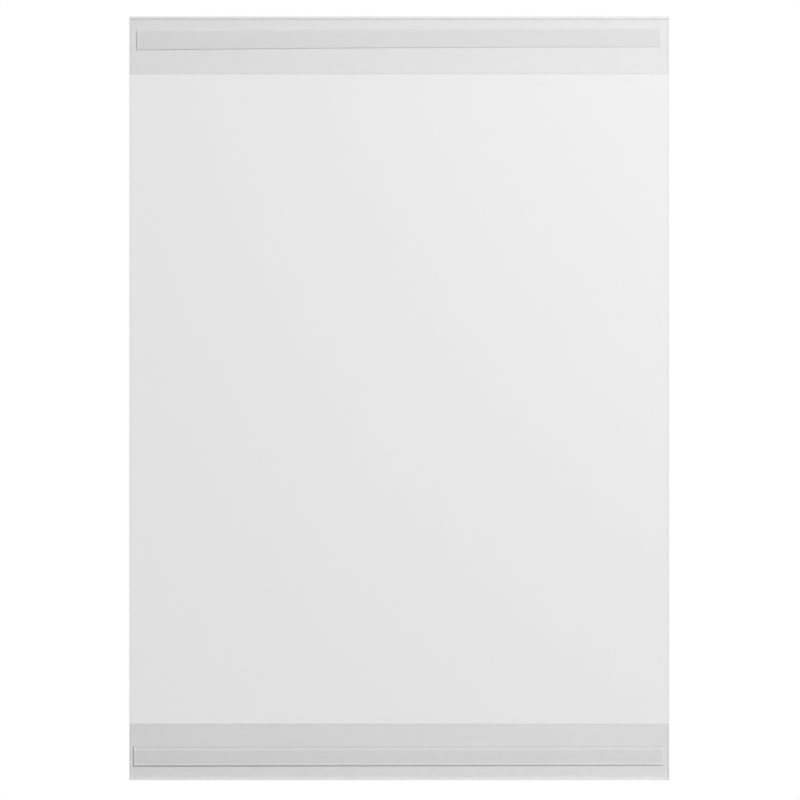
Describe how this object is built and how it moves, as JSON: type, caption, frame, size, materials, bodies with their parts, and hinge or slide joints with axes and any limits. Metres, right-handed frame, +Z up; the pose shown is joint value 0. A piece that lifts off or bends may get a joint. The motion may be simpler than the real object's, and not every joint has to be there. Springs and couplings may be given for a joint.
{
  "type": "self-adhesive document pocket",
  "caption": "Flat upright pocket of matt clear film, folded back at top and bottom into rear flaps with adhesive strips, open at both sides for a printed sheet.",
  "frame": {"origin": "middle of the wall plane, the plane in which both adhesive strips bond", "axes": "+Z up along the height of the pocket, +Y out of the back towards the wall, so the front faces -Y"},
  "size_m": [0.214, 0.0023, 0.303],
  "materials": {
    "film": "matt embossed see-through polypropylene film",
    "adhesive": "clear double-sided tape",
    "liner": "smooth clear release film"
  },
  "bodies": {
    "front": {"front_panel": "film", "upper_fold_front": "film", "lower_fold_front": "film"},
    "upper_flap": {"upper_fold_rear": "film", "upper_flap": "film", "upper_adhesive_strip": "adhesive"},
    "lower_flap": {"lower_fold_rear": "film", "lower_flap": "film", "lower_adhesive_strip": "adhesive"},
    "upper_liner": {"upper_release_liner": "liner"},
    "lower_liner": {"lower_release_liner": "liner"}
  },
  "joints": [
    {"name": "upper_fold_hinge", "type": "hinge", "parent": "front", "child": "upper_flap", "pos_m": [0, -0.0012, 0.1515], "axis": [1, 0, 0], "range_deg": [0, 100], "stiffness_Nm_per_rad": 0.03},
    {"name": "lower_fold_hinge", "type": "hinge", "parent": "front", "child": "lower_flap", "pos_m": [0, -0.0012, -0.1515], "axis": [-1, 0, 0], "range_deg": [0, 100], "stiffness_Nm_per_rad": 0.03},
    {"name": "upper_liner_peel", "type": "slide", "parent": "upper_flap", "child": "upper_liner", "axis": [0, 1, 0], "range_m": [0, 0.03]},
    {"name": "lower_liner_peel", "type": "slide", "parent": "lower_flap", "child": "lower_liner", "axis": [0, 1, 0], "range_m": [0, 0.03]}
  ]
}
